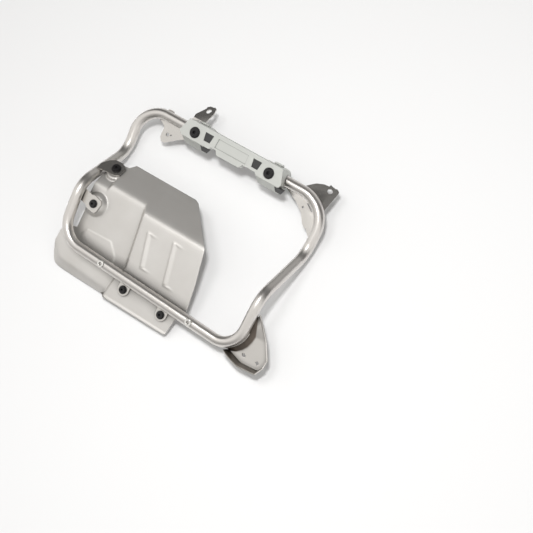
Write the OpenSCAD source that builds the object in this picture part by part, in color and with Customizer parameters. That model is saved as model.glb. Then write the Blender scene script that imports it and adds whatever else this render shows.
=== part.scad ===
// Pannier frame for a motorbike: a bent tube ring with a clamp bar, mounting brackets,
// a lower gusset and a heat shield that keeps the pannier off the silencer.
// X runs to the front of the bike, Z up, and the pannier hangs on the -Y side.
// The origin is midway between the two bolt holes in the floor of the gusset.

/* [Ring tube] */
// Outside diameter of the tube
tube_d = 18; // [16:0.5:20]
// Wall of the tube
tube_wall = 2; // [1.5:0.1:3]
// Length of the top bar, between the corners of its centre line
top_span = 380; // [365:1:420]
// Lean of the rear leg towards the front
rear_lean = 5.3; // [0:0.1:6]
// Height of the rear leg from the top bar to the start of its sideways bend
rear_upper = 87; // [84:1:94]
// Height of the sideways bend in the rear leg
rear_kick = 69; // [62:1:76]
// Height of the rear leg below its sideways bend
rear_lower = 95; // [92:0.5:120]
// Height of the front leg from the top bar to the start of its sideways bend
front_upper = 90; // [87:1:96]
// Height of the sideways bend in the front leg
front_kick = 77; // [70:1:84]
// Height of the front leg below its sideways bend
front_lower = 97; // [92:1:110]
// How far the lower half stands out to clear the silencer
kick_out = 95; // [85:1:105]
// Bend radius of the two rear corners, on the centre line
corner_r = 45; // [38:1:48]
// Bend radius of the upper front corner, on the centre line
front_corner_r = 52.5; // [46:0.5:56]
// Bend radius of the lower front corner, on the centre line
low_corner_r = 38; // [34:1:44]
// Bend radius of the sideways bends, on the centre line
kick_r = 46; // [35:1:50]

/* [Clamp bar] */
// Length of the clamp bar
bar_l = 206; // [196:1:214]
// How far the clamp bar sits in front of the middle of the top bar
bar_lead = 5.7; // [0:0.1:9]
// Distance of each clamp screw from its end of the clamp bar
screw_in = 28; // [26:0.5:30]
// Reach of each jaw's block behind its clamp screw
jaw_back = 19; // [17:0.5:19]
// Reach of each jaw's block in front of its clamp screw
jaw_front = 24; // [21:0.5:25]
// Height of the clamp bar's top edge above the tube's centre line
bar_top = 17; // [15:0.5:19]
// Depth of the lower jaws below the tube's centre line
jaw_drop = 24; // [21:0.5:27]
// Distance of the clamp bar's front face from the tube's centre line
bar_face = 26; // [24:0.5:30]
// Depth of the beam between the two jaws
beam_depth = 14.5; // [13:0.5:15]
// Front wall of the beam
beam_wall = 3.5; // [3:0.1:5]
// Upper width of the black wedge in each lower jaw
wedge_w = 15; // [12:0.5:16]
// Lower width of the black wedge in each lower jaw
wedge_low_w = 10; // [8:0.5:11]
// Distance of the black wedge in front of its clamp screw
wedge_from = 18; // [16:0.5:19]
// Width of a rear jaw
rear_jaw_w = 42; // [38:1:46]
// Depth of a rear jaw behind the tube's centre line
rear_jaw_depth = 17; // [15:0.5:20]
// Half of the slot between the front and the rear jaw
jaw_gap = 1; // [0.5:0.1:2]
// Diameter of the clamp screws' heads
clamp_head_d = 18; // [16:0.5:19]
// Diameter of the clamp screws' shanks
clamp_shank_d = 8; // [6:0.5:8]
// Height of the clamp nuts
clamp_nut_h = 7; // [5:0.5:8]
// Width across the flats of the clamp nuts
clamp_nut_af = 13; // [12:0.5:14]
// Upper width of the black window plugs
plug_top_w = 16.5; // [15:0.5:18]
// Lower width of the black window plugs
plug_low_w = 12; // [10:0.5:14]
// Distance of each window plug from its clamp screw
plug_in = 26.5; // [25:0.5:29]
// Distance of the bare label panel from each end of the clamp bar
label_in = 73; // [71:1:76]
// Height of the bare label panel
label_h = 16; // [12:0.5:17]
// Depth of the bare label panel
label_deep = 0.8; // [0.4:0.1:1.2]

/* [Upper brackets] */
// Thickness of the bracket sheet
bracket_t = 3; // [2.5:0.1:4]
// Backward tilt of the rear bracket's ear
rear_ear_tilt = 36; // [30:1:42]
// Length of the rear bracket's ear
rear_ear_l = 34; // [30:1:38]
// Backward tilt of the front bracket's ear
front_ear_tilt = 30; // [24:1:36]
// Width of the slot in the rear ear
rear_ear_hole_d = 6.6; // [5:0.1:7]
// Distance between the two end centres of the slot in the rear ear
rear_ear_slot = 4; // [2:0.5:5]
// Diameter of the hole in the front ear
front_ear_hole_d = 9; // [8:0.1:10]

/* [Gusset] */
// Thickness of the gusset sheet
gusset_t = 2.5; // [2:0.1:3]
// Depth of the gusset tray
gusset_deep = 17.5; // [15:0.5:20]
// How far the tray's rim stands out beyond the tube's centre line
gusset_rim = 2; // [1:0.5:4]
// Distance between the two bolt holes
gusset_pitch = 26; // [24:0.5:28]
// Diameter of the two bolt holes
gusset_hole_d = 6.6; // [5.5:0.1:8.4]
// Distance of the bolt holes' middle from the front leg's centre line
gusset_out = 26.5; // [25:0.5:29]

/* [Heat shield] */
// Thickness of the shield sheet
shield_t = 1.5; // [1:0.1:2]
// Clearance between the bottom bar and the shield
shield_clear = 1; // [0.5:0.1:2]
// Step between the front and the rear part of the shield
shield_step = 8; // [6:0.5:9]
// Backward slope of the shield's upper panel from upright
shield_slope = 37.5; // [34:0.5:41]
// Height of the fold below the top bar
fold_drop = 149; // [146:0.5:152]
// Height of the shield's top edge below the top bar
shield_top = 94; // [92:1:97]
// Height of the shield's bottom edge below the top bar
shield_bottom = 306; // [300:1:312]
// Height of the pressed ribs
rib_h = 2; // [1:0.1:3]
// Width of the pressed ribs
rib_w = 5; // [4:0.5:7]
// Thickness of the four fixing tabs
tab_t = 3; // [2.5:0.1:3.5]
// Drop of the two lower screws below the bottom bar's centre line
lower_screw_drop = 19.5; // [18.5:0.5:22]
// Diameter of the heads of the shield's side and lower screws
shield_head_d = 14; // [12:0.5:15]
// Diameter of the head of the shield's upper screw
upper_head_d = 16; // [14:0.5:17]
// Diameter of the shield screws' shanks
shield_shank_d = 6; // [5:0.5:6]

/* [Bottom bar] */
// Place of the rear locating insert along the frame
insert_rear = 109; // [105:1:113]
// Distance between the two locating inserts
insert_pitch = 184; // [180:1:188]
// Diameter of the locating inserts
insert_d = 11.6; // [10:0.2:12]
// Diameter of the threaded bore in the locating inserts
insert_bore_d = 5.2; // [4:0.1:6]
// How far the locating inserts stand proud of the tube
insert_proud = 2; // [1:0.5:3]

/* [Fits] */
// Clearance around a screw shank
hole_clear = 0.5; // [0.3:0.1:0.8]
// Clearance around seated pieces
seat_clear = 0.1; // [0.05:0.05:0.2]

/* [Hidden] */
$fn = 64;
tube_r = tube_d / 2;
cut = 0.5;
lap = 0.5;
seam = 0.04;

// Corners of the ring's centre line, from the upper rear corner round to the upper front one
rear_bend_top = rear_upper;
rear_bend_low = rear_upper + rear_kick;
rear_drop = rear_bend_low + rear_lower;
front_bend_low = front_upper + front_kick;
front_drop = front_bend_low + front_lower;
function rear_x(drop) = (min(drop, rear_bend_top) + max(drop - rear_bend_low, 0)) * tan(rear_lean);
corners = [
    [0, 0, 0],
    [rear_x(rear_bend_top), 0, -rear_bend_top],
    [rear_x(rear_bend_low), -kick_out, -rear_bend_low],
    [rear_x(rear_drop), -kick_out, -rear_drop],
    [top_span, -kick_out, -front_drop],
    [top_span, -kick_out, -front_bend_low],
    [top_span, 0, -front_upper],
    [top_span, 0, 0]
];
radii = [corner_r, kick_r, kick_r, corner_r, low_corner_r, kick_r, kick_r, front_corner_r];
count = len(corners);
function unit(v) = v / norm(v);
function way(i) = unit(corners[(i + 1) % count] - corners[i % count]);
function turn(i) = acos(way(i + count - 1) * way(i));
function reach(i) = radii[i % count] * tan(turn(i) / 2);
function bend_start(i) = corners[i] - way(i + count - 1) * reach(i);
function bend_end(i) = corners[i] + way(i) * reach(i);
function bottom_z(x) = corners[3].z + (x - corners[3].x) * (corners[4].z - corners[3].z)
    / (corners[4].x - corners[3].x);
bottom_slope = atan((corners[4].z - corners[3].z) / (corners[4].x - corners[3].x));

// Clamp places
bar_mid = top_span / 2 + bar_lead;
screw_pitch = bar_l - 2 * screw_in;
screw_x = [bar_mid - screw_pitch / 2, bar_mid + screw_pitch / 2];
clamp_hole_d = clamp_shank_d + hole_clear;
head_seat = 3;
clamp_head_h = 5.5;
nut_seat = 4;
end_slant = 9;
jaw_bevel = 18;
beam_floor = 13;
plug_deep = 10;
plug_x = screw_pitch / 2 - plug_in;
plug_z = 2.7;
plug_h = 14;
hook_w = 14;
hook_t = 3;
hook_deep = 5;

// Bracket sheets lie behind the tube
sheet_y = tube_r;
front_arc = [top_span - front_corner_r, -front_corner_r];

// The gusset's corner and the frame's origin
gusset_arc = [top_span - low_corner_r, corners[4].z + low_corner_r];
gusset_front = -kick_out - gusset_rim;
gusset_back = gusset_front + gusset_deep;
gusset_floor = gusset_back - gusset_t;
mount = [top_span + gusset_out, gusset_floor, corners[4].z];

// Shield planes
shield_y = -kick_out + tube_r + shield_clear;
rear_shield_y = shield_y + shield_step;
slope_way = [0, sin(shield_slope), cos(shield_slope)];
tab_y = shield_y - tab_t;
shield_hole_d = shield_shank_d + hole_clear;
shield_nut_h = 5;
shield_nut_af = 10;
shield_head_h = 4.5;
upper_screw = [37, 44];
side_screw = [41, -178];
side_angle = 12;
side_tab_w = 25;
lower_screw_x = [158, 237.5];
boss_r = 13;
boss_foot = 4;

steel = [0.78, 0.76, 0.73];
sheet_steel = [0.8, 0.79, 0.77];
cast_alloy = [0.85, 0.86, 0.83];
black = [0.12, 0.12, 0.13];

// Moves a piece from the ring's upper rear corner to the frame's origin
module at_mount() {
    translate(-mount) children();
}

// Extrudes an outline drawn in X and Z from one Y to another
module slab(y_from, y_to) {
    translate([0, y_to, 0]) rotate([90, 0, 0]) linear_extrude(y_to - y_from) children();
}

// A round bar along Y
module bar_y(r, y_from, y_to) {
    translate([0, y_to, 0]) rotate([90, 0, 0]) cylinder(h = y_to - y_from, r = r);
}

// A hexagonal bar along Y
module hex_y(flats, y_from, y_to) {
    translate([0, y_to, 0]) rotate([90, 0, 0])
        cylinder(h = y_to - y_from, d = flats / cos(30), $fn = 6);
}

// A rectangle with round corners, centred
module round_rect(w, h, r) {
    square([w - 2 * r, h], center = true);
    square([w, h - 2 * r], center = true);
    for (x = [-1, 1], z = [-1, 1])
        translate([x * (w / 2 - r), z * (h / 2 - r)]) circle(r);
}

// One straight of the ring, a hair thinner than its bends and let into both of them
module straight(i, r) {
    from = bend_end(i) - way(i) * lap;
    run = bend_start((i + 1) % count) + way(i) * lap - from;
    translate(from) rotate([0, acos(run.z / norm(run)), atan2(run.y, run.x)])
        cylinder(h = norm(run), r = r - seam);
}

// One bend of the ring, turned about its own centre
module bend(i, r) {
    a = way(i + count - 1);
    b = way(i);
    inward = unit(b - a);
    centre = corners[i] + inward * radii[i] / cos(turn(i) / 2);
    u = unit(bend_start(i) - centre);
    w = cross(u, a);
    multmatrix([[u.x, a.x, w.x, centre.x], [u.y, a.y, w.y, centre.y], [u.z, a.z, w.z, centre.z],
        [0, 0, 0, 1]])
        rotate_extrude(angle = turn(i)) translate([radii[i], 0]) circle(r);
}

// The whole ring as a solid bar of radius r
module ring_bar(r) {
    for (i = [0:count - 1]) {
        straight(i, r);
        bend(i, r);
    }
}

module ring_tube() {
    color(steel) difference() {
        ring_bar(tube_r);
        ring_bar(tube_r - tube_wall);
        for (x = screw_x) translate([x, 0, 0]) bar_y(clamp_hole_d / 2, -tube_d, tube_d);
        for (x = [insert_rear, insert_rear + insert_pitch])
            translate([x, -kick_out, bottom_z(x)]) bar_y(insert_d / 2, -tube_d, 0);
    }
}

// Outline of the clamp bar's beam seen from the pannier
module bar_outline() {
    half = bar_l / 2;
    lip = half - label_in - 3;
    rear = wedge_from + wedge_w + 1 - screw_pitch / 2;
    front = screw_pitch / 2 - jaw_back;
    polygon([[-half + end_slant, bar_top], [half - end_slant, bar_top], [half, -7],
        [half - 2, -beam_floor], [front, -beam_floor], [front - 4, -9], [lip, -9], [lip - 5, -16],
        [5 - lip, -16], [-lip, -9], [rear + 4, -9], [rear, -beam_floor], [-half + 6, -beam_floor],
        [-half, -7]]);
}

// Outline of one jaw's block seen from the pannier, inside the bar's two slanted ends
module jaw_outline(side) {
    half = bar_l / 2;
    intersection() {
        translate([side * screw_pitch / 2, 0]) polygon([[-jaw_back, bar_top], [jaw_front, bar_top],
            [jaw_front, -jaw_drop], [2 - jaw_back, -jaw_drop], [-jaw_back, 7 - jaw_drop]]);
        polygon([[-half + end_slant, bar_top], [half - end_slant, bar_top], [half, -7],
            [half, -jaw_drop], [-half, -jaw_drop], [-half, -7]]);
    }
}

// Side view of the jaws: flat front, sloping underside and a slot at the back
module jaw_body() {
    rotate([90, 0, 90]) linear_extrude(bar_l + 2 * wedge_w, center = true)
        polygon([[-bar_face, bar_top], [-jaw_gap, bar_top], [-jaw_gap, -jaw_drop],
            [-bar_face + jaw_bevel, -jaw_drop], [-bar_face, -beam_floor]]);
}

module plug_outline(grow) {
    polygon([[-plug_top_w / 2 - grow, plug_h / 2 + grow], [plug_top_w / 2 + grow, plug_h / 2 + grow],
        [plug_low_w / 2 + grow, -plug_h / 2 - grow], [-plug_low_w / 2 - grow, -plug_h / 2 - grow]]);
}

// The black wedge's seat in the front end of each jaw, under the beam
module wedge_block(side, grow) {
    translate([side * screw_pitch / 2 + wedge_from, 0, 0])
        slab(-bar_face + 2 - grow, -bar_face + 16 + grow)
            polygon([[-grow, -beam_floor + grow], [wedge_w + grow, -beam_floor + grow],
                [wedge_low_w + grow, -jaw_drop - cut], [-grow, -jaw_drop - cut]]);
}

module clamp_bar() {
    label = bar_l / 2 - label_in;
    bay = plug_x - plug_top_w / 2 - 1.5;
    color(cast_alloy) translate([bar_mid, 0, 0]) difference() {
        union() {
            slab(-bar_face, -bar_face + beam_depth) bar_outline();
            for (side = [-1, 1]) intersection() {
                slab(-bar_face, -jaw_gap) jaw_outline(side);
                jaw_body();
            }
        }
        rotate([0, 90, 0]) cylinder(h = bar_l + 2, r = tube_r + seat_clear, center = true);
        for (side = [-1, 1]) {
            translate([side * screw_pitch / 2, 0, 0]) {
                bar_y(clamp_hole_d / 2, -bar_face - cut, 0);
                bar_y(clamp_head_d / 2 + hole_clear, -bar_face - cut, -bar_face + head_seat);
            }
            translate([side * plug_x, 0, plug_z])
                slab(-bar_face - cut, -bar_face + plug_deep) plug_outline(seat_clear);
            wedge_block(side, seat_clear);
            translate([side * (bay + 3) / 2, 0, 2.5])
                slab(-bar_face + beam_wall, -bar_face + beam_depth + cut)
                    round_rect(bay - 3, 18, 3);
        }
        translate([0, 0, 2]) slab(-bar_face - cut, -bar_face + label_deep)
            polygon([[-label, label_h / 2], [label, label_h / 2], [label + 1, -label_h / 2],
                [-label - 1, -label_h / 2]]);
    }
}

module window_plug(side) {
    color(black) translate([bar_mid + side * plug_x, 0, plug_z])
        slab(-bar_face + 0.6, -bar_face + plug_deep) plug_outline(0);
}

module jaw_wedge(side) {
    color(black) translate([bar_mid, 0, 0]) intersection() {
        wedge_block(side, 0);
        jaw_body();
    }
}

module rear_jaw(side) {
    h = bar_top + jaw_drop;
    color(cast_alloy) translate([bar_mid + side * screw_pitch / 2, 0, 0]) difference() {
        union() {
            translate([0, 0, (bar_top - jaw_drop) / 2 - 0.5])
                slab(jaw_gap, rear_jaw_depth) round_rect(rear_jaw_w, h, 11);
            translate([-hook_w / 2, jaw_gap, 0])
                cube([hook_w, hook_deep - jaw_gap, bar_top + seat_clear + hook_t]);
            translate([-hook_w / 2, -hook_deep, bar_top + seat_clear])
                cube([hook_w, 2 * hook_deep, hook_t]);
        }
        rotate([0, 90, 0]) cylinder(h = rear_jaw_w + 2, r = tube_r + seat_clear, center = true);
        bar_y(clamp_hole_d / 2, 0, rear_jaw_depth + cut);
        hex_y(clamp_nut_af + 2 * seat_clear, rear_jaw_depth - nut_seat, rear_jaw_depth + cut);
    }
}

module clamp_screw(side) {
    seat = -bar_face + head_seat;
    color(black) translate([bar_mid + side * screw_pitch / 2, 0, 0]) difference() {
        union() {
            bar_y(clamp_head_d / 2, seat - clamp_head_h + 1.5, seat);
            bar_y(clamp_head_d / 2 - 2, seat - clamp_head_h, seat);
            bar_y(clamp_shank_d / 2, seat - 1, rear_jaw_depth - nut_seat + clamp_nut_h + 3);
        }
        hex_y(6, seat - clamp_head_h - cut, seat - 1.5);
    }
}

module clamp_nut(side) {
    from = rear_jaw_depth - nut_seat;
    color(black) translate([bar_mid + side * screw_pitch / 2, 0, 0]) difference() {
        hex_y(clamp_nut_af, from, from + clamp_nut_h);
        bar_y(clamp_shank_d / 2, from - cut, from + clamp_nut_h + cut);
    }
}

// Outline of the rear ear, with its foot on the line at height 0
module rear_ear(left, right) {
    polygon([[left, -0.5], [left - 1.5, 6.6], [left + 7, rear_ear_l - 8], [left + 6.5, rear_ear_l - 5],
        [left + 9.5, rear_ear_l - 1], [left + 13, rear_ear_l], [right - 6.5, rear_ear_l],
        [right - 6.5, rear_ear_l + 2], [right - 1.5, rear_ear_l], [right + 1, rear_ear_l - 11],
        [right, -0.5]]);
}

// Sheet of the rear bracket, hanging behind the top bar, with its ear tilted back above it
module rear_bracket() {
    foot = bar_top + 2;
    left = screw_x[0] - 31;
    right = left + 23.5;
    edge = screw_x[0] - rear_jaw_w / 2 - 1;
    color(sheet_steel) difference() {
        union() {
            slab(sheet_y - cut, sheet_y + bracket_t) {
                translate([edge, 0]) polygon([[-63.5, 0], [-64.5, -13], [-59.5, -14], [-51, -20],
                    [-50, -38], [-45, -44.5], [-38.5, -44], [-15, -27], [0, -20], [0, foot],
                    [left - edge, foot], [left - edge - 4, 6], [-44.5, 6], [-47.5, 10.5],
                    [-56.5, 10.5], [-59.5, 6]]);
                translate([left, foot - 1.5]) square([right - left, 1.5]);
            }
            translate([0, sheet_y, foot]) rotate([-rear_ear_tilt, 0, 0])
                slab(0, bracket_t) rear_ear(left, right);
        }
        ring_bar(tube_r);
        translate([0, sheet_y, foot]) rotate([-rear_ear_tilt, 0, 0])
            slab(-cut, bracket_t + cut) translate([left + 14, rear_ear_l - 10.5]) rotate(-17) {
                square([rear_ear_hole_d, rear_ear_slot], center = true);
                for (end = [-1, 1]) translate([0, end * rear_ear_slot / 2])
                    circle(rear_ear_hole_d / 2);
            }
        for (hole = [[-39, -29, 3.3], [-32.5, -27.5, 1.6]]) translate([edge + hole[0], 0, hole[1]])
            bar_y(hole[2], 0, sheet_y + bracket_t + cut);
    }
}

// Outline of the front ear, from its foot
module front_ear() {
    polygon([[0, -6], [0, 2.7], [5, 18], [13, 28], [20, 32.5], [19.5, 36.5], [24, 37.5],
        [29, 39], [31, 41.5], [36.5, 41], [38.6, 38.9], [52, 1], [50, -6]]);
}

// Sheet of the front bracket, filling the upper front corner, with its ear tilted back
module front_bracket() {
    low = [front_arc.x + 38.5, front_arc.y - 10];
    from = screw_x[1] + rear_jaw_w / 2 + 1;
    swing = -26.6;
    color(sheet_steel) difference() {
        union() {
            slab(sheet_y - cut, sheet_y + bracket_t) intersection() {
                union() {
                    translate(front_arc) circle(front_corner_r + 5);
                    translate([from, -20]) square([front_arc.x - from, 24]);
                }
                polygon([[from - 60, 10], [from - 60, -11], [front_arc.x - 30, -11],
                    [front_arc.x - 7.5, front_arc.y + 31], [front_arc.x + 10.5, front_arc.y + 18],
                    [front_arc.x + 19.5, front_arc.y + 5], [front_arc.x + 25, front_arc.y],
                    [front_arc.x + 31.5, front_arc.y - 2], low, [top_span + 10, low.y],
                    [top_span + 10, 10]]);
                translate([from, low.y]) square([top_span + 10 - from, 10 - low.y]);
            }
            translate([front_arc.x - 3, sheet_y, front_arc.y + 59.8]) rotate([0, -swing, 0])
                rotate([-front_ear_tilt, 0, 0]) slab(0, bracket_t) front_ear();
        }
        ring_bar(tube_r);
        translate([front_arc.x - 3, sheet_y, front_arc.y + 59.8]) rotate([0, -swing, 0])
            rotate([-front_ear_tilt, 0, 0]) translate([28.2, 0, 29.2])
                bar_y(front_ear_hole_d / 2, -cut, bracket_t + cut);
        translate([front_arc.x + 9.2, 0, front_arc.y + 27.7])
            bar_y(2, 0, sheet_y + bracket_t + cut);
        slab(0, sheet_y + bracket_t + cut) translate([front_arc.x + 20.3, front_arc.y + 32.6])
            rotate(-34) square([15.5, 2.6], center = true);
    }
}

// Corner points of the gusset's rim, from the front leg round to the bottom bar
function gusset_points() = let (x = mount.x, z = mount.z) [
    [top_span, z + 72], [x - 16, z + 72], [x - 12.5, z + 69], [x + 25.5, z + 17.5],
    [x + 29.5, z + 7], [x + 29, z - 5], [x + 23, z - 13], [x - 12, z - 17], [x - 47, z - 10],
    [x - 54, z - 2]];

// Points of an outline moved inwards by a distance, for corners listed clockwise
function inset(points, d) = [for (i = [0:len(points) - 1])
    let (n = len(points), p = points[i], a = unit(p - points[(i + n - 1) % n]),
        b = unit(points[(i + 1) % n] - p), m = [a.y + b.y, -a.x - b.x])
        p + m * d / (1 + a * b)];

// The side of the tube that faces the gusset's corner
module outside_ring(grow) {
    difference() {
        children();
        translate(gusset_arc) circle(low_corner_r + tube_r - 1 + grow);
        translate([top_span - 100, gusset_arc.y]) square([100 + tube_r - 1 + grow, 200]);
        translate([gusset_arc.x, corners[4].z]) rotate(bottom_slope)
            translate([-100, -tube_r + 1 - grow]) square([100, 100]);
    }
}

module gusset() {
    color(sheet_steel) difference() {
        slab(gusset_front, gusset_back) outside_ring(0) polygon(gusset_points());
        slab(gusset_front - cut, gusset_floor) outside_ring(gusset_t + 1)
            polygon(inset(gusset_points(), gusset_t));
        ring_bar(tube_r);
        for (side = [-1, 1]) translate([mount.x + side * gusset_pitch / 2, 0, mount.z])
            bar_y(gusset_hole_d / 2, gusset_floor - cut, gusset_back + cut);
    }
}

// Space behind the shield's outer face, with its front part standing out past the crease
module shield_mass(low_y) {
    rotate([90, 0, 90]) linear_extrude(400)
        polygon([[low_y + 15, -shield_bottom], [low_y, -shield_bottom + 14],
            [low_y, -fold_drop + (low_y - shield_y) / tan(shield_slope)],
            [shield_y + slope_way.y * 90, -fold_drop + slope_way.z * 90],
            [60, -fold_drop + slope_way.z * 90], [60, -shield_bottom]]);
}

module shield_space() {
    intersection() {
        union() {
            shield_mass(rear_shield_y);
            intersection() {
                shield_mass(shield_y);
                slab(-kick_out, 70) polygon([[122, -60], [127, -145], [141, -242], [129, -274],
                    [131, -shield_bottom - 9], [400, -shield_bottom - 9], [400, -60]]);
            }
        }
        linear_extrude(800, center = true) polygon([[4, rear_shield_y + 11],
            [15, rear_shield_y], [15, -kick_out - 20], [400, -kick_out - 20], [400, 70], [4, 70]]);
    }
}

module shield_outline() {
    polygon([[60, -shield_top], [190, -shield_top], [254, -fold_drop], [267, -207], [273, -246],
        [274, -262], [266, -288], [259, -shield_bottom - 1], [24, -shield_bottom - 1],
        [14, -296], [5, -268], [5, -246], [12, -233], [26, -228], [26, -197], [20.5, -165],
        [21, -145], [20, -120], [23, -107], [30, -103], [52, -103]]);
}

// One pressed rib: an upright with a short leg at each end
module rib(top, low, leg) {
    lean = atan2(low.x - top.x, top.y - low.y);
    translate(top) rotate(lean) translate([0, -norm(top - low)]) square([rib_w, norm(top - low)]);
    translate([top.x, top.y - rib_w / 2]) square([leg, rib_w / 2]);
    translate(low) square([leg, rib_w / 2]);
}

// Places a piece on the sloping upper panel, with its own Y square to the panel
module on_slope() {
    translate([0, shield_y, -fold_drop]) rotate([-shield_slope, 0, 0]) children();
}

module at_upper_screw() {
    on_slope() translate([upper_screw.x, 0, upper_screw.y]) children();
}

module at_side_screw() {
    translate([side_screw.x, shield_y, side_screw.y]) children();
}

module at_lower_screw(i) {
    x = lower_screw_x[i];
    translate([x, shield_y, bottom_z(x) - lower_screw_drop]) children();
}

// The round pressing that brings the rear part of the shield out to its side tab
module side_boss(r, y_from) {
    translate([side_screw.x, y_from, side_screw.y]) rotate([-90, 0, 0])
        cylinder(h = rear_shield_y + 0.01 - y_from, r1 = r, r2 = r + boss_foot);
}

// Ends the turned-back border along the shield's rear edge
module rear_edge() {
    linear_extrude(800, center = true) polygon([[0, -kick_out - 20], [400, -kick_out - 20],
        [400, 70], [15 + shield_t, 70], [15 + shield_t, rear_shield_y + 11], [0, rear_shield_y + 11]]);
}

module heat_shield() {
    color(sheet_steel) difference() {
        union() {
            difference() {
                intersection() {
                    shield_space();
                    slab(-kick_out - 20, 70) shield_outline();
                    rear_edge();
                }
                translate([shield_t, shield_t, 0]) shield_space();
                side_boss(boss_r - shield_t, shield_y);
            }
            difference() {
                side_boss(boss_r, shield_y);
                translate([0, shield_t, 0]) side_boss(boss_r - shield_t, shield_y);
            }
            slab(shield_y - rib_h, shield_y + shield_t / 2) {
                rib([151, -175], [165, -227], 22);
                rib([200, -168], [215, -232], 23);
            }
            slab(rear_shield_y - rib_h, rear_shield_y + shield_t / 2)
                polygon([[44, -229], [50, -221], [95, -219], [113, -238], [118, -262], [44, -262]]);
        }
        at_upper_screw() bar_y(shield_hole_d / 2, -10, 10);
        at_side_screw() bar_y(shield_hole_d / 2, -10, 10);
        for (i = [0, 1]) at_lower_screw(i) bar_y(shield_hole_d / 2, -10, 10);
    }
}

module shield_tab_upper() {
    color(sheet_steel) difference() {
        on_slope() slab(-tab_t, 0) polygon([[8, 27], [21, 30], [41, 31], [50, 35.5], [51, 51.5],
            [40, 58.5], [26, 58], [17, 52], [8, 40]]);
        ring_bar(tube_r);
        at_upper_screw() bar_y(shield_hole_d / 2, -tab_t - cut, cut);
    }
}

module shield_tab_side() {
    color(sheet_steel) difference() {
        at_side_screw() slab(-tab_t, 0) rotate(-side_angle) {
            round_rect(side_tab_w, side_tab_w, 7);
            translate([-28, -10]) square([24, 20]);
        }
        ring_bar(tube_r);
        translate([-60, -kick_out - 40, side_screw.y - 60])
            cube([60 + rear_x(-side_screw.y), 80, 120]);
        at_side_screw() bar_y(shield_hole_d / 2, -tab_t - cut, cut);
    }
}

module shield_tab_lower(i) {
    r = 10.5;
    color(sheet_steel) difference() {
        at_lower_screw(i) slab(-tab_t, 0) {
            circle(r);
            translate([-r, 0]) square([2 * r, lower_screw_drop - 4]);
        }
        ring_bar(tube_r);
        at_lower_screw(i) bar_y(shield_hole_d / 2, -tab_t - cut, cut);
    }
}

module shield_screw(head_d) {
    color(black) difference() {
        union() {
            bar_y(head_d / 2, -tab_t - 1.5, -tab_t);
            bar_y(head_d / 2 - 1.5, -tab_t - shield_head_h, -tab_t);
            bar_y(shield_shank_d / 2, -tab_t - 1, shield_t + shield_nut_h + 2);
        }
        hex_y(4, -tab_t - shield_head_h - cut, -tab_t - 1);
    }
}

module shield_nut() {
    color(steel) difference() {
        union() {
            bar_y(shield_nut_af / 2 + 1.5, shield_t, shield_t + 1.2);
            hex_y(shield_nut_af, shield_t, shield_t + shield_nut_h);
        }
        bar_y(shield_shank_d / 2, shield_t - cut, shield_t + shield_nut_h + cut);
    }
}

module locating_insert(x) {
    depth = 6;
    color(steel) translate([x, -kick_out, bottom_z(x)]) difference() {
        bar_y(insert_d / 2, -tube_r - insert_proud, -tube_r + depth);
        bar_y(insert_bore_d / 2, -tube_r - insert_proud - cut, -tube_r + depth + cut);
    }
}

at_mount() ring_tube();
at_mount() clamp_bar();
at_mount() rear_jaw(-1);  // rear_jaw_left
at_mount() rear_jaw(1);  // rear_jaw_right
at_mount() clamp_screw(-1);  // clamp_screw_left
at_mount() clamp_screw(1);  // clamp_screw_right
at_mount() clamp_nut(-1);  // clamp_nut_left
at_mount() clamp_nut(1);  // clamp_nut_right
at_mount() window_plug(-1);  // window_plug_left
at_mount() window_plug(1);  // window_plug_right
at_mount() jaw_wedge(-1);  // jaw_wedge_left
at_mount() jaw_wedge(1);  // jaw_wedge_right
at_mount() rear_bracket();
at_mount() front_bracket();
at_mount() gusset();
at_mount() heat_shield();
at_mount() shield_tab_upper();
at_mount() shield_tab_side();
at_mount() shield_tab_lower(0);  // shield_tab_lower_rear
at_mount() shield_tab_lower(1);  // shield_tab_lower_front
at_mount() at_upper_screw() shield_screw(upper_head_d);  // shield_screw_upper
at_mount() at_side_screw() shield_screw(shield_head_d);  // shield_screw_side
at_mount() at_lower_screw(0) shield_screw(shield_head_d);  // shield_screw_lower_rear
at_mount() at_lower_screw(1) shield_screw(shield_head_d);  // shield_screw_lower_front
at_mount() at_upper_screw() shield_nut();  // shield_nut_upper
at_mount() at_side_screw() shield_nut();  // shield_nut_side
at_mount() at_lower_screw(0) shield_nut();  // shield_nut_lower_rear
at_mount() at_lower_screw(1) shield_nut();  // shield_nut_lower_front
at_mount() locating_insert(insert_rear);  // locating_insert_rear
at_mount() locating_insert(insert_rear + insert_pitch);  // locating_insert_front
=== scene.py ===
import math

import bmesh
import bpy
import numpy as np
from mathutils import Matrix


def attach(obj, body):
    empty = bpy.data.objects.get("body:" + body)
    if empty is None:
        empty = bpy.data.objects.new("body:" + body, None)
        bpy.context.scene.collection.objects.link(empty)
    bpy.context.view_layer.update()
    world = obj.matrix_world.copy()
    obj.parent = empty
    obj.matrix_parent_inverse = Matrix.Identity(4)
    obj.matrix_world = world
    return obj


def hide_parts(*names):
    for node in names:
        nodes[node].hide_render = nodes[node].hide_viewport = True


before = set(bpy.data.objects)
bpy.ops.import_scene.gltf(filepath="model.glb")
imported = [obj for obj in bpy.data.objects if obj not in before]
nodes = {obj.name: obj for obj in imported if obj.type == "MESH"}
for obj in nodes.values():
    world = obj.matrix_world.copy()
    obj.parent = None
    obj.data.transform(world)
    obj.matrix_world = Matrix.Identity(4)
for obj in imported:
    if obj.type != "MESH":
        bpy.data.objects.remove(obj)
scene = bpy.context.scene
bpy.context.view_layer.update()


# Ring: one 18 mm stainless tube, bent at its four corners and sideways in both legs so that the
# lower half clears the silencer, then welded to itself. Its skin is a fine satin over a warm
# grey metal.
mount = np.array([406.5, -82, -264])


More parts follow.
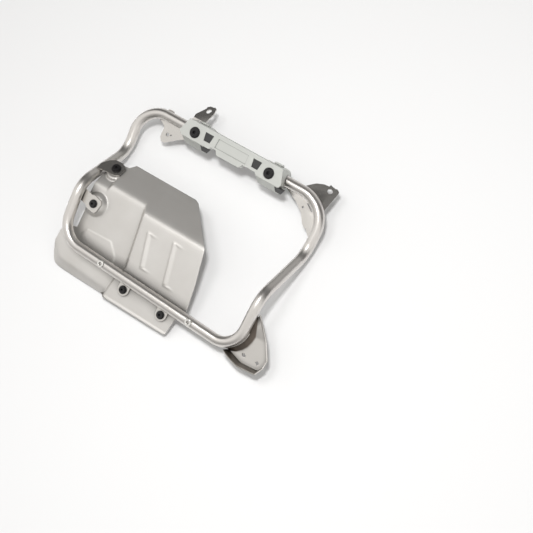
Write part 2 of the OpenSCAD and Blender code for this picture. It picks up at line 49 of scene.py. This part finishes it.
def row(p):
    """Millimetres from the ring's upper rear corner, turned into metres from the mount, which is
    the middle between the gusset's two bolt holes."""
    return (np.asarray(p, float) - mount) / 1000


def unit(v):
    """Each vector divided by its length."""
    return v / np.linalg.norm(v, axis=-1, keepdims=True)


def bent_path(corner, radius, steps):
    """A closed path of arcs. At each corner it leaves the straight r tan(turn / 2) early and
    follows centre + r (cos(t) u + sin(t) a), with u towards the start and a along the straight."""
    a = unit(corner - np.roll(corner, 1, 0))
    b = unit(np.roll(corner, -1, 0) - corner)
    turn = np.arccos((a * b).sum(1))[:, None]
    radius = radius[:, None]
    start = corner - a * radius * np.tan(turn / 2)
    centre = corner + unit(b - a) * radius / np.cos(turn / 2)
    u = unit(start - centre)
    t = (np.linspace(0, 1, steps) * turn)[:, :, None]
    arc = centre[:, None] + radius[:, :, None] * (np.cos(t) * u[:, None] + np.sin(t) * a[:, None])
    return arc.reshape(-1, 3)


def piece(name, verts, faces, material, stands_for=()):
    """A mesh at the origin, smooth, riding on the frame and taking the given material."""
    mesh = bpy.data.meshes.new(name)
    mesh.from_pydata(np.asarray(verts).tolist(), [], [list(f) for f in faces])
    mesh.polygons.foreach_set("use_smooth", np.ones(len(mesh.polygons), bool))
    mesh.materials.append(material)
    o = bpy.data.objects.new(name, mesh)
    scene.collection.objects.link(o)
    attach(o, "root")
    if stands_for:
        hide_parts(*stands_for)
    return o


def sweep(path, radius, sides, closed):
    """A round tube: path point + r (cos(f) e1 + sin(f) e2), with e1 the frame's Y, or its Z where
    the path runs along Y, made square to the path, and e2 square to both. An open tube is closed
    with a flat cap at each end."""
    n = len(path)
    if closed:
        way = unit(np.roll(path, -1, 0) - np.roll(path, 1, 0))
    else:
        way = unit(np.gradient(path, axis=0))
    side = np.array([0, 1.0, 0]) if abs(way[:, 1]).max() < 0.95 else np.array([0, 0, 1.0])
    e1 = unit(side - (way @ side)[:, None] * way)
    e2 = np.cross(way, e1)
    f = np.linspace(0, 2 * np.pi, sides, endpoint=False)
    radius = np.broadcast_to(radius, n)[:, None, None]
    ring = np.cos(f)[None, :, None] * e1[:, None] + np.sin(f)[None, :, None] * e2[:, None]
    verts = (path[:, None] + radius * ring).reshape(-1, 3)
    i, j = np.meshgrid(np.arange(n if closed else n - 1), np.arange(sides), indexing="ij")
    k, l = (i + 1) % n, (j + 1) % sides
    faces = np.stack([i * sides + j, i * sides + l, k * sides + l, k * sides + j], -1)
    faces = faces.reshape(-1, 4).tolist()
    if not closed:
        faces += [list(range(sides))[::-1], list(range((n - 1) * sides, n * sides))]
    return verts, faces


def grid_quads(rows, columns):
    """The quads of a grid of points, where the point of row i and column j has the number
    i columns + j."""
    i, j = np.meshgrid(np.arange(rows - 1), np.arange(columns - 1), indexing="ij")
    at = i * columns + j
    return np.stack([at, at + 1, at + columns + 1, at + columns], -1)


def thicken(o, thickness, side):
    """Sheet metal: a wall of the given thickness in metres to one side of the surface, and a
    0.4 mm round on its cut edges."""
    wall = o.modifiers.new("wall", "SOLIDIFY")
    wall.thickness = thickness
    wall.offset = side
    rim = o.modifiers.new("rim", "BEVEL")
    rim.width = 0.0004
    rim.segments = 2
    rim.limit_method = "ANGLE"
    rim.angle_limit = math.radians(60)


def new_group(name, sockets):
    """A node group with the given sockets, and its input and output nodes."""
    g = bpy.data.node_groups.new(name, "ShaderNodeTree")
    for socket, kind, end in sockets:
        g.interface.new_socket(socket, in_out=end, socket_type="NodeSocket" + kind)
    return g, g.nodes.new("NodeGroupInput"), g.nodes.new("NodeGroupOutput")


def fine_grain():
    """Node group: 'Vector' times 'Stretch' through a noise gives 'Grain', 'Vector' through a
    broad noise gives 'Cloud', and the grain tilts 'Normal' by 'Depth'."""
    g, inside, outside = new_group("fine_grain", (
        ("Vector", "Vector", "INPUT"), ("Stretch", "Vector", "INPUT"), ("Depth", "Float", "INPUT"),
        ("Grain", "Float", "OUTPUT"), ("Cloud", "Float", "OUTPUT"), ("Normal", "Vector", "OUTPUT")))
    n, l = g.nodes, g.links
    stretch = n.new("ShaderNodeVectorMath")
    stretch.operation = "MULTIPLY"
    l.new(inside.outputs["Vector"], stretch.inputs[0])
    l.new(inside.outputs["Stretch"], stretch.inputs[1])
    grain = n.new("ShaderNodeTexNoise")
    grain.inputs["Scale"].default_value = 1
    grain.inputs["Detail"].default_value = 3
    l.new(stretch.outputs[0], grain.inputs["Vector"])
    cloud = n.new("ShaderNodeTexNoise")
    cloud.inputs["Scale"].default_value = 24
    cloud.inputs["Detail"].default_value = 4
    l.new(inside.outputs["Vector"], cloud.inputs["Vector"])
    bump = n.new("ShaderNodeBump")
    bump.inputs["Distance"].default_value = 0.0002
    l.new(inside.outputs["Depth"], bump.inputs["Strength"])
    l.new(grain.outputs["Fac"], bump.inputs["Height"])
    l.new(grain.outputs["Fac"], outside.inputs["Grain"])
    l.new(cloud.outputs["Fac"], outside.inputs["Cloud"])
    l.new(bump.outputs["Normal"], outside.inputs["Normal"])
    return g


def painted_nook_shade():
    """Node group: how open the surface is within 'Reach' turns into a scale from 'Darkest' up to
    1, which multiplies 'Color': painted shade in nooks and beside other pieces."""
    g, inside, outside = new_group("painted_nook_shade", (
        ("Color", "Color", "INPUT"), ("Reach", "Float", "INPUT"), ("Darkest", "Float", "INPUT"),
        ("Color", "Color", "OUTPUT")))
    n, l = g.nodes, g.links
    # Painted shade: ambient occlusion darkens the colour itself.
    open_share = n.new("ShaderNodeAmbientOcclusion")
    l.new(inside.outputs["Reach"], open_share.inputs["Distance"])
    scale = n.new("ShaderNodeMapRange")
    scale.inputs["From Min"].default_value = 0.4
    scale.inputs["From Max"].default_value = 0.95
    l.new(open_share.outputs["AO"], scale.inputs["Value"])
    l.new(inside.outputs["Darkest"], scale.inputs["To Min"])
    shade = n.new("ShaderNodeVectorMath")
    shade.operation = "SCALE"
    l.new(inside.outputs["Color"], shade.inputs[0])
    l.new(scale.outputs[0], shade.inputs["Scale"])
    l.new(shade.outputs[0], outside.inputs["Color"])
    return g


grain_group = fine_grain()
painted_shade_group = painted_nook_shade()


def finish(name, dark, pale, rough, metallic, stretch, depth, reach=0.004, darkest=0.5, burnt_and_shaded=None):
    """A finish that goes from dark to pale with the cloud, to a burnt, shaded colour where the
    mesh's tint attribute says (weld heat tint mixed with painted shade), and darker in nooks as
    painted shade; its roughness runs between two values with the grain. 'stretch' is how fine the
    grain is along each axis, 'depth' how strong its relief is, 'reach' how far the painted nook
    shade is felt in metres, and 'darkest' the colour's share left there."""
    m = bpy.data.materials.new(name)
    m.use_nodes = True
    n, l = m.node_tree.nodes, m.node_tree.links
    shader = n["Principled BSDF"]
    shader.inputs["Metallic"].default_value = metallic
    where = n.new("ShaderNodeTexCoord")
    grain = n.new("ShaderNodeGroup")
    grain.node_tree = grain_group
    l.new(where.outputs["Object"], grain.inputs["Vector"])
    grain.inputs["Stretch"].default_value = stretch
    grain.inputs["Depth"].default_value = depth
    tint = n.new("ShaderNodeMix")
    tint.data_type = "RGBA"
    tint.inputs["A"].default_value = (*dark, 1)
    tint.inputs["B"].default_value = (*pale, 1)
    l.new(grain.outputs["Cloud"], tint.inputs["Factor"])
    colour = tint.outputs["Result"]
    # Weld heat tint and painted shade, from the mesh's tint attribute.
    if burnt_and_shaded:
        tint_and_shade = n.new("ShaderNodeAttribute")
        tint_and_shade.attribute_name = "weld_tint_and_shade"
        tinted_and_shaded = n.new("ShaderNodeMix")
        tinted_and_shaded.data_type = "RGBA"
        tinted_and_shaded.inputs["B"].default_value = (*burnt_and_shaded, 1)
        l.new(tint_and_shade.outputs["Fac"], tinted_and_shaded.inputs["Factor"])
        l.new(colour, tinted_and_shaded.inputs["A"])
        colour = tinted_and_shaded.outputs["Result"]
    # Painted shade: the colour darkens in nooks and beside other pieces.
    nook = n.new("ShaderNodeGroup")
    nook.node_tree = painted_shade_group
    nook.inputs["Reach"].default_value = reach
    nook.inputs["Darkest"].default_value = darkest
    l.new(colour, nook.inputs["Color"])
    l.new(nook.outputs["Color"], shader.inputs["Base Color"])
    gloss = n.new("ShaderNodeMapRange")
    gloss.inputs["To Min"].default_value = rough[0]
    gloss.inputs["To Max"].default_value = rough[1]
    l.new(grain.outputs["Grain"], gloss.inputs["Value"])
    l.new(gloss.outputs[0], shader.inputs["Roughness"])
    l.new(grain.outputs["Normal"], shader.inputs["Normal"])
    return m


tube_radius = 0.009
kick = -95
ring_corner = np.array([[0, 0, 0], [8.07, 0, -87], [8.07, kick, -156], [16.88, kick, -251],
                        [380, kick, -264], [380, kick, -167], [380, 0, -90], [380, 0, 0]], float)
ring_bend = np.array([45, 46, 46, 45, 38, 46, 46, 52.5])
ring_path = bent_path(ring_corner, ring_bend, steps=28)
satin_tube = finish("satin_tube", dark=(0.66, 0.63, 0.6), pale=(0.75, 0.73, 0.7),
                    rough=(0.26, 0.36), metallic=1.0, stretch=(900, 900, 900), depth=0.08)
verts, faces = sweep(row(ring_path), tube_radius, sides=48, closed=True)
piece("ring", verts, faces, satin_tube, ["ring_tube"])


# Heat shield: 1.5 mm stainless sheet between the pannier and the silencer. Its top leans back,
# its rear part steps back 8 mm and folds away at the lower border, and it carries two
# bracket-shaped ribs, a pressed field, a round seat for the side screw and a dip by the top tab.
def ramp(v):
    """Smooth step: 0 below 0, 1 above 1, and v squared times (3 - 2 v) between."""
    v = np.clip(v, 0, 1)
    return v * v * (3 - 2 * v)


def rounder(a, b, k):
    """The larger of two heights with a round of about k between: k log(exp(a/k) + exp(b/k))."""
    return k * np.logaddexp(a / k, b / k)


def past(x, z, points):
    """How far a point lies outside a convex outline given clockwise, from its nearest side."""
    p = np.array(points, float)
    q = np.roll(p, -1, 0)
    out = unit(np.stack([-(q - p)[:, 1], (q - p)[:, 0]], 1))
    return ((x[..., None] - p[:, 0]) * out[:, 0] + (z[..., None] - p[:, 1]) * out[:, 1]).max(-1)


def along(x, z, a, b):
    """Signed distance to the right of the line from a down to b, and the share of the way."""
    a, b = np.array(a, float), np.array(b, float)
    way = unit(b - a)
    dx, dz = x - a[0], z - a[1]
    return -(dx * way[1] - dz * way[0]), (dx * way[0] + dz * way[1]) / np.linalg.norm(b - a)


def rib_height(x, z, top, low, leg):
    """One rib: a steep flank on the left and a long slope on the right of the upright, with
    a narrow round ridge for each leg that fades out towards its end."""
    height, flank, slope, ridge, leg_fall, leg_share = 1.3, 2.6, 9, 1.9, 0.06, 0.55
    right, share = along(x, z, top, low)
    upright = ramp(right / flank + 0.5) * (1 - ramp((right - 1.2) / slope))
    upright = upright * ramp(share * 25 + 0.5) * ramp((1 - share) * 25 + 0.5)
    legs = [np.exp(-((z - c[1] + leg_fall * (x - c[0])) / ridge) ** 2) * ramp((x - c[0] + 1) / 2)
            * (1 - ramp((x - c[0] - 6) / (leg - 6))) for c in (top, low)]
    return height * np.maximum(upright, leg_share * np.maximum(*legs))


panel_y, step_back, fold_z = -85, 8, -149
lean = math.radians(37.5)
side_screw, upper_screw = (41, -178), (38, -113)


def shield_depth(x, z):
    """Y of the sheet's outer face: the main panel, set back behind the crease except on the side
    screw's seat, blended into the leaning top, which dips by the upper screw, and into the rear
    part's folded lower border, less a low bead at the front part's lower edge and the pressings.
    Seat and dip follow the distance from their screw."""
    crease = np.interp(z, [-315, -291, -269, -242, -145, -60], [124, 128, 131.3, 141, 127, 122])
    seat = ramp((np.hypot(x - side_screw[0], z - side_screw[1]) - 13) / 9)
    rear = ramp((crease + 4.5 - x) / 9)
    main = panel_y + step_back * rear * seat
    dip = 6.5 * ramp((52 - x) / 6)
    dip = dip * ramp((np.hypot(x - upper_screw[0], z - upper_screw[1]) - 14) / 8)
    top = panel_y + (z - fold_z) * math.tan(lean) + dip
    below, behind = -288.3 - 0.045 * x - z, -0.725 * (x - 3.7) - 0.689 * (z + 271.9)
    border = main + 0.5 * rounder(below, behind, 2) - 20 * (1 - rear)
    y = rounder(rounder(main, top, 1.9), border, 0.8)
    y = y - 0.9 * (1 - rear) * ramp((-299.4 - z) / 3.5)
    field = past(x, z, [[46, -222], [95, -219.5], [113, -238], [118, -262], [46, -262], [40, -232]])
    y = y - 0.6 * ramp(0.5 - field / 3.4)
    y = y - rib_height(x, z, (151, -173), (166, -229), 24)
    return y - rib_height(x, z, (200, -166), (216, -234), 25)


rear_edge = [(-304.4, 34), (-303.8, 21), (-302.2, 13.5), (-297, 8), (-285, 3.5), (-267, -1.2),
             (-246, 0), (-233, 8), (-228, 26), (-197, 26), (-165, 20.5), (-145, 21), (-120, 20),
             (-107, 23), (-104, 30), (-103, 52), (-94, 60)]
front_edge = [(-304.4, 253), (-303.8, 256.5), (-301.5, 258), (-288, 260), (-274, 262), (-262, 274),
              (-246, 273), (-207, 267), (-151, 254.5), (-147, 251.5), (-96, 191), (-94, 184)]
low_z, high_z, notch_z, columns = -304.4, -94, -104, 200
z = np.unique(np.round(np.concatenate([np.linspace(low_z, high_z, 176), [fold_z, notch_z]]), 3))
left = np.interp(z, *np.transpose(rear_edge))
right = np.interp(z, *np.transpose(front_edge))
sx = left[:, None] + np.linspace(0, 1, columns) * (right - left)[:, None]
sz = np.repeat(z[:, None], columns, 1)
sheet = row(np.stack([sx, shield_depth(sx, sz), sz], -1)).reshape(-1, 3)
faces = grid_quads(len(z), columns).reshape(-1, 4)
# Painted shade: the sheet's colour darkens within about 22 mm of the tube and tabs.
brushed_sheet = finish("brushed_sheet", dark=(0.66, 0.64, 0.61), pale=(0.76, 0.745, 0.72),
                       rough=(0.46, 0.56), metallic=1.0, stretch=(60, 900, 2200), depth=0.05,
                       reach=0.022, darkest=0.35)
shield = piece("heat_shield_sheet", sheet, faces, brushed_sheet, ["heat_shield"])
thicken(shield, thickness=0.0015, side=-1)


# Tabs and brackets: stainless plates, laser cut, folded and welded to the tube. Their cut edges
# are broken by tumbling, so every edge here gets a small round.
def eased(node, width, material, segments=2):
    """The CAD piece's mesh copied and merged, its flat faces joined, with a round of the given
    width in metres on every edge sharper than 20 degrees."""
    sharp = math.radians(20)
    mesh = nodes[node].data.copy()
    bm = bmesh.new()
    bm.from_mesh(mesh)
    bmesh.ops.remove_doubles(bm, verts=bm.verts, dist=2e-6)
    bmesh.ops.dissolve_limit(bm, angle_limit=math.radians(0.6), verts=bm.verts, edges=bm.edges)
    bm.to_mesh(mesh)
    bm.free()
    mesh.polygons.foreach_set("use_smooth", np.ones(len(mesh.polygons), bool))
    mesh.set_sharp_from_angle(angle=sharp)
    mesh.materials.clear()
    mesh.materials.append(material)
    o = bpy.data.objects.new(node + "_eased", mesh)
    scene.collection.objects.link(o)
    round_edges = o.modifiers.new("round_edges", "BEVEL")
    round_edges.width = width
    round_edges.segments = segments
    round_edges.limit_method = "ANGLE"
    round_edges.angle_limit = sharp
    round_edges.harden_normals = True
    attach(o, "root")
    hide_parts(node)
    return o


plate_steel = finish("plate_steel", dark=(0.6, 0.58, 0.55), pale=(0.68, 0.66, 0.63),
                     rough=(0.2, 0.29), metallic=1.0, stretch=(900, 900, 900), depth=0.06)
for node in ("rear_bracket", "front_bracket", "shield_tab_upper", "shield_tab_side",
             "shield_tab_lower_rear", "shield_tab_lower_front"):
    eased(node, 0.0005, plate_steel)


# Gusset: a pressed stainless tray across the ring's lower front corner, its flat floor behind
# the tube and its wall flaring forward to the rim; the side by the tube is painted brown as weld
# heat tint with painted shade, the flaring wall is painted dark as shade, and its nooks darker
# still.
def blend(net, u, w, across, down):
    """The net's straight-line value at (u, w), averaged over a window of 7 by 7 points that
    reaches 'down' in u and 'across' in w to each side, which rounds its corners and folds."""
    count, total = 7, 0
    for a in np.linspace(-down, down, count):
        for b in np.linspace(-across, across, count):
            p = np.clip(u + a, 0, net.shape[1] - 1)
            q = np.clip(w + b, 0, net.shape[0] - 1)
            i = np.minimum(p.astype(int), net.shape[1] - 2)
            j = np.minimum(q.astype(int), net.shape[0] - 2)
            p, q = (p - i)[..., None], (q - j)[..., None]
            total = total + ((1 - q) * ((1 - p) * net[j, i] + p * net[j, i + 1])
                             + q * ((1 - p) * net[j + 1, i] + p * net[j + 1, i + 1]))
    return total / count ** 2


tube_line = [(350, -263), (358, -261), (367, -256), (373, -248), (377, -239), (379, -230),
             (380, -220), (380, -207), (380, -194)]
floor_in = [(361, -267), (370, -268.5), (380, -264.5), (388, -257.5), (393.5, -249.5), (397, -239),
            (398.2, -229.4), (394, -215.5), (386, -200)]
floor_out = [(366.5, -269), (372.8, -271.2), (394.1, -278), (425.8, -274.5), (430.8, -266),
             (432, -251.8), (416.6, -227.2), (399, -207), (388.8, -194.6)]
rim_line = [(360.8, -272.6), (368.5, -275.8), (394.3, -283.2), (428.8, -279.6), (435.8, -264.5),
            (435.8, -250.5), (419.1, -225.3), (401.1, -204.8), (390.1, -192.5)]
floor_y = -80.2
net = np.array([[(x, y, z) for x, z in line] for line, y in
                ((tube_line, -88), (floor_in, floor_y), (floor_out, floor_y), (rim_line, -96.5))])
net[3, :, 1] = [-92, -95, -96.5, -96.5, -93, -89, -87, -87, -88]
net[1:3, 7:, 1] = -83
rows, columns = 176, 66
u, w = np.meshgrid(np.linspace(0, 8, rows), np.linspace(0, 3, columns), indexing="ij")
tray = blend(net, u, w, across=0.08, down=0.12)
hole_radius, hole_spacing, gather = 2.6, 26, 0.75
kept = np.ones(tray.shape[:2], bool)
for side in (-0.5, 0.5):
    centre = mount[[0, 2]] + (side * hole_spacing, 0)
    out = tray[..., [0, 2]] - centre
    far = np.hypot(out[..., 0], out[..., 1])
    near = np.abs(far - hole_radius) < gather
    tray[..., [0, 2]] = centre + out * np.where(near, hole_radius / far, 1)[..., None]
    kept &= far > hole_radius - 0.01
solid = kept[:-1, :-1] & kept[1:, :-1] & kept[:-1, 1:] & kept[1:, 1:]
faces = grid_quads(rows, columns)[solid]
# By the tube: weld heat tint with painted shade; on the flaring wall: painted shade only.
by_tube = 1 - ramp((w - 0.88) / 0.16)
wall_shade = ramp((w - 2.06) / 0.08) * (1 - ramp((w - 2.84) / 0.08))
tint_and_shade = np.maximum(by_tube, 0.75 * wall_shade)
tray_steel = finish("tray_steel", dark=(0.6, 0.58, 0.55), pale=(0.7, 0.68, 0.65),
                    rough=(0.26, 0.36), metallic=1.0, stretch=(900, 900, 900), depth=0.06,
                    reach=0.01, darkest=0.25, burnt_and_shaded=(0.16, 0.135, 0.115))
gusset = piece("gusset_tray", row(tray).reshape(-1, 3), faces, tray_steel,
               ["gusset"])
weld_tint_and_shade = gusset.data.attributes.new("weld_tint_and_shade", "FLOAT", "POINT")
weld_tint_and_shade.data.foreach_set("value", tint_and_shade.reshape(-1).astype(np.float32))
thicken(gusset, thickness=0.0018, side=1)


# Welds: beads where the gusset and the two brackets meet the tube, laid by hand in overlapping
# drops and left bright.
def bead(name, path, radius):
    """A tube along the path whose radius is r (0.85 + 0.15 |sin|), one drop each 1.3 r, and which
    closes to a tenth of that at both ends."""
    length = np.concatenate([[0], np.cumsum(np.linalg.norm(np.diff(path, axis=0), axis=1))])
    at = np.linspace(0, length[-1], max(12, int(length[-1] / radius * 5)))
    fine = np.stack([np.interp(at, length, path[:, k]) for k in range(3)], 1)
    end = np.minimum(at, at[-1] - at) / radius
    drops = 0.85 + 0.15 * np.abs(np.sin(at / radius * 2.4))
    closing = 0.1 + 0.9 * np.sqrt(ramp(end))
    verts, faces = sweep(row(fine), radius * drops * closing / 1000, sides=10, closed=False)
    piece(name, verts, faces, plate_steel)


t = np.linspace(0, 1, 24)
arc = np.radians(-90 + 90 * t)
bend = ring_corner[4] + ring_bend[4] * np.array([-1, 0, 1])
seam = np.stack([bend[0] + 45 * np.cos(arc), -87.3 + 0 * t, bend[2] + 45 * np.sin(arc)], 1)
bead("weld_gusset", seam, 2.2)
for name, start, length in (("weld_front_bracket", 296, 30), ("weld_rear_bracket", 52, 36)):
    bead(name, np.stack([start + length * t, 9.6 + 0 * t, -4.6 + 0 * t], 1), 1.2)


# Clamp bar and rear jaws: die-cast aluminium, bead blasted to a pale grey with a hint of green.
# The bar grips the top of the ring between its own jaws and two loose ones behind it.
# Painted shade: the casting's colour darkens in its recesses and around the screws.
blasted_cast = finish("blasted_cast", dark=(0.55, 0.56, 0.535), pale=(0.63, 0.64, 0.61),
                      rough=(0.5, 0.62), metallic=0.9, stretch=(2600, 2600, 2600), depth=0.35,
                      reach=0.003, darkest=0.2)
for node in ("clamp_bar", "rear_jaw_left", "rear_jaw_right"):
    eased(node, 0.0005, blasted_cast, segments=3)


# Window plugs and wedges: black moulded plastic pressed into the casting. The plugs close the
# bar's two windows, and each of its lower jaws holds a wedge.
black_moulding = finish("black_moulding", dark=(0.018, 0.018, 0.018), pale=(0.03, 0.03, 0.03),
                        rough=(0.4, 0.55), metallic=0.0, stretch=(1500, 1500, 1500), depth=0.2)
for node in ("window_plug_left", "window_plug_right", "jaw_wedge_left", "jaw_wedge_right"):
    eased(node, 0.0006, black_moulding)


# Screws and clamp nuts: blackened steel, slightly oily. Two screws with nuts close the jaws
# round the tube, and four hold the heat shield; all have hexagon sockets.
blackened = finish("blackened_steel", dark=(0.012, 0.012, 0.013), pale=(0.035, 0.034, 0.034),
                   rough=(0.26, 0.42), metallic=0.6, stretch=(1200, 1200, 1200), depth=0.1)
for node in ("clamp_screw_left", "clamp_screw_right", "clamp_nut_left", "clamp_nut_right",
             "shield_screw_upper", "shield_screw_side", "shield_screw_lower_rear",
             "shield_screw_lower_front"):
    eased(node, 0.0004, blackened)


# Shield nuts: plain stainless flange nuts behind the sheet, one for each of the shield's four
# screws.
plain_nut = finish("plain_nut", dark=(0.6, 0.59, 0.57), pale=(0.7, 0.69, 0.67),
                   rough=(0.25, 0.4), metallic=1.0, stretch=(1200, 1200, 1200), depth=0.1)
for node in ("shield_nut_upper", "shield_nut_side", "shield_nut_lower_rear",
             "shield_nut_lower_front"):
    eased(node, 0.0003, plain_nut)


# Locating inserts: bright turned bushes let into the bottom bar and welded there. They are the
# brightest metal of the frame.
turned = finish("turned_steel", dark=(0.78, 0.77, 0.74), pale=(0.86, 0.85, 0.82),
                rough=(0.12, 0.22), metallic=1.0, stretch=(2500, 2500, 2500), depth=0.04)
for node in ("locating_insert_rear", "locating_insert_front"):
    eased(node, 0.0007, turned, segments=3)


# Paper: the white sheet that the frame lies on, leaning with the kick of the legs, seen only
# from its front.
paper_lean, half_side = 0.41, 2.5
across = np.array([1.0, 0, 0])
up = unit(np.array([0, paper_lean, 1.0]))
middle = row((200, 62 - paper_lean * 130, -130))
corner = [middle + half_side * (a * across + b * up)
          for a, b in ((-1, -1), (1, -1), (1, 1), (-1, 1))]
mesh = bpy.data.meshes.new("paper")
mesh.from_pydata([tuple(c) for c in corner], [], [(0, 1, 2, 3)])
paper = bpy.data.objects.new("paper", mesh)
scene.collection.objects.link(paper)
m = bpy.data.materials.new("white_paper")
m.use_nodes = True
n, l = m.node_tree.nodes, m.node_tree.links
n.clear()
out = n.new("ShaderNodeOutputMaterial")
matt = n.new("ShaderNodeBsdfDiffuse")
matt.inputs["Color"].default_value = (0.58, 0.58, 0.58, 1)
glow = n.new("ShaderNodeEmission")
glow.inputs["Color"].default_value = (1, 1, 1, 1)
path = n.new("ShaderNodeLightPath")
lift = n.new("ShaderNodeMath")
lift.operation = "MULTIPLY"
lift.inputs[1].default_value = 0.06
l.new(path.outputs["Is Camera Ray"], lift.inputs[0])
l.new(lift.outputs[0], glow.inputs["Strength"])
both = n.new("ShaderNodeAddShader")
l.new(matt.outputs[0], both.inputs[0])
l.new(glow.outputs[0], both.inputs[1])
clear = n.new("ShaderNodeBsdfTransparent")
side = n.new("ShaderNodeNewGeometry")
choose = n.new("ShaderNodeMixShader")
l.new(side.outputs["Backfacing"], choose.inputs[0])
l.new(both.outputs[0], choose.inputs[1])
l.new(clear.outputs[0], choose.inputs[2])
l.new(choose.outputs[0], out.inputs["Surface"])
mesh.materials.append(m)


# Studio: pale walls in front of the frame, a dark band above its face that its tubes reflect,
# one small lamp over the camera for the shadows and one larger lamp to its left for the glints.
world = bpy.data.worlds.new("studio")
scene.world = world
world.use_nodes = True
n, l = world.node_tree.nodes, world.node_tree.links
n.clear()
out = n.new("ShaderNodeOutputWorld")
lit = n.new("ShaderNodeBackground")
seen = n.new("ShaderNodeBackground")
seen.inputs["Color"].default_value = (1, 1, 1, 1)
way = n.new("ShaderNodeTexCoord")
half_tilted_up = (0, 0.25, 0.433)
height = n.new("ShaderNodeVectorMath")
height.operation = "DOT_PRODUCT"
height.inputs[1].default_value = half_tilted_up
l.new(way.outputs["Generated"], height.inputs[0])
shift = n.new("ShaderNodeMath")
shift.operation = "ADD"
shift.inputs[1].default_value = 0.5
l.new(height.outputs["Value"], shift.inputs[0])
bands = n.new("ShaderNodeValToRGB")
l.new(shift.outputs[0], bands.inputs["Fac"])
bands.color_ramp.elements[0].position = 0.0
bands.color_ramp.elements[0].color = (0.5, 0.49, 0.48, 1)
bands.color_ramp.elements[1].position = 1.0
bands.color_ramp.elements[1].color = (0.7, 0.69, 0.68, 1)
for where, level in ((0.2, 1.0), (0.38, 1.0), (0.46, 1.0), (0.55, 0.84), (0.61, 0.18),
                     (0.67, 0.11), (0.78, 0.11), (0.88, 0.4)):
    e = bands.color_ramp.elements.new(where)
    e.color = (level, level * 0.985, level * 0.965, 1)
l.new(bands.outputs[0], lit.inputs["Color"])
upright = n.new("ShaderNodeSeparateXYZ")
l.new(way.outputs["Generated"], upright.inputs[0])
ground = n.new("ShaderNodeMapRange")
ground.inputs["From Min"].default_value = -0.8
ground.inputs["From Max"].default_value = -0.3
ground.inputs["To Min"].default_value = 0.6
ground.inputs["To Max"].default_value = 0.97
l.new(upright.outputs["Z"], ground.inputs["Value"])
l.new(ground.outputs[0], lit.inputs["Strength"])
path = n.new("ShaderNodeLightPath")
mix = n.new("ShaderNodeMixShader")
l.new(path.outputs["Is Camera Ray"], mix.inputs[0])
l.new(lit.outputs[0], mix.inputs[1])
l.new(seen.outputs[0], mix.inputs[2])
l.new(mix.outputs[0], out.inputs["Surface"])


def lamp(name, size, power, at, towards):
    """A square lamp of the given side in metres and power in watts at a point, facing another."""
    d = bpy.data.lights.new(name, "AREA")
    d.size = size
    d.energy = power
    o = bpy.data.objects.new(name, d)
    scene.collection.objects.link(o)
    o.location = at
    way = [b - a for a, b in zip(at, towards)]
    o.rotation_euler = (math.acos(-way[2] / math.dist(at, towards)), 0,
                        math.atan2(way[1], way[0]) - math.pi / 2)
    return o


aim = (-0.2, 0, 0.12)
key = lamp("key", size=0.2, power=36, at=(0.3, -1.9, 0.79), towards=aim)
key.visible_glossy = False
lamp("glow", size=0.5, power=8, at=(-0.3, -1.68, 0.72), towards=aim)


# Camera: the photograph's view, from in front of the frame and above it, rolled so that the ring
# lies at a slant as it does on the page. Its place and lens were fitted to points seen there.
cam = bpy.data.cameras.new("camera")
cam.sensor_width = 36
cam.lens = 85.7786
camera = bpy.data.objects.new("camera", cam)
scene.collection.objects.link(camera)
camera.location = (0.62954, -1.83649, 0.46386)
camera.rotation_euler = (1.387685, -0.461956, 0.434937)
scene.camera = camera
scene.view_settings.view_transform = "Standard"
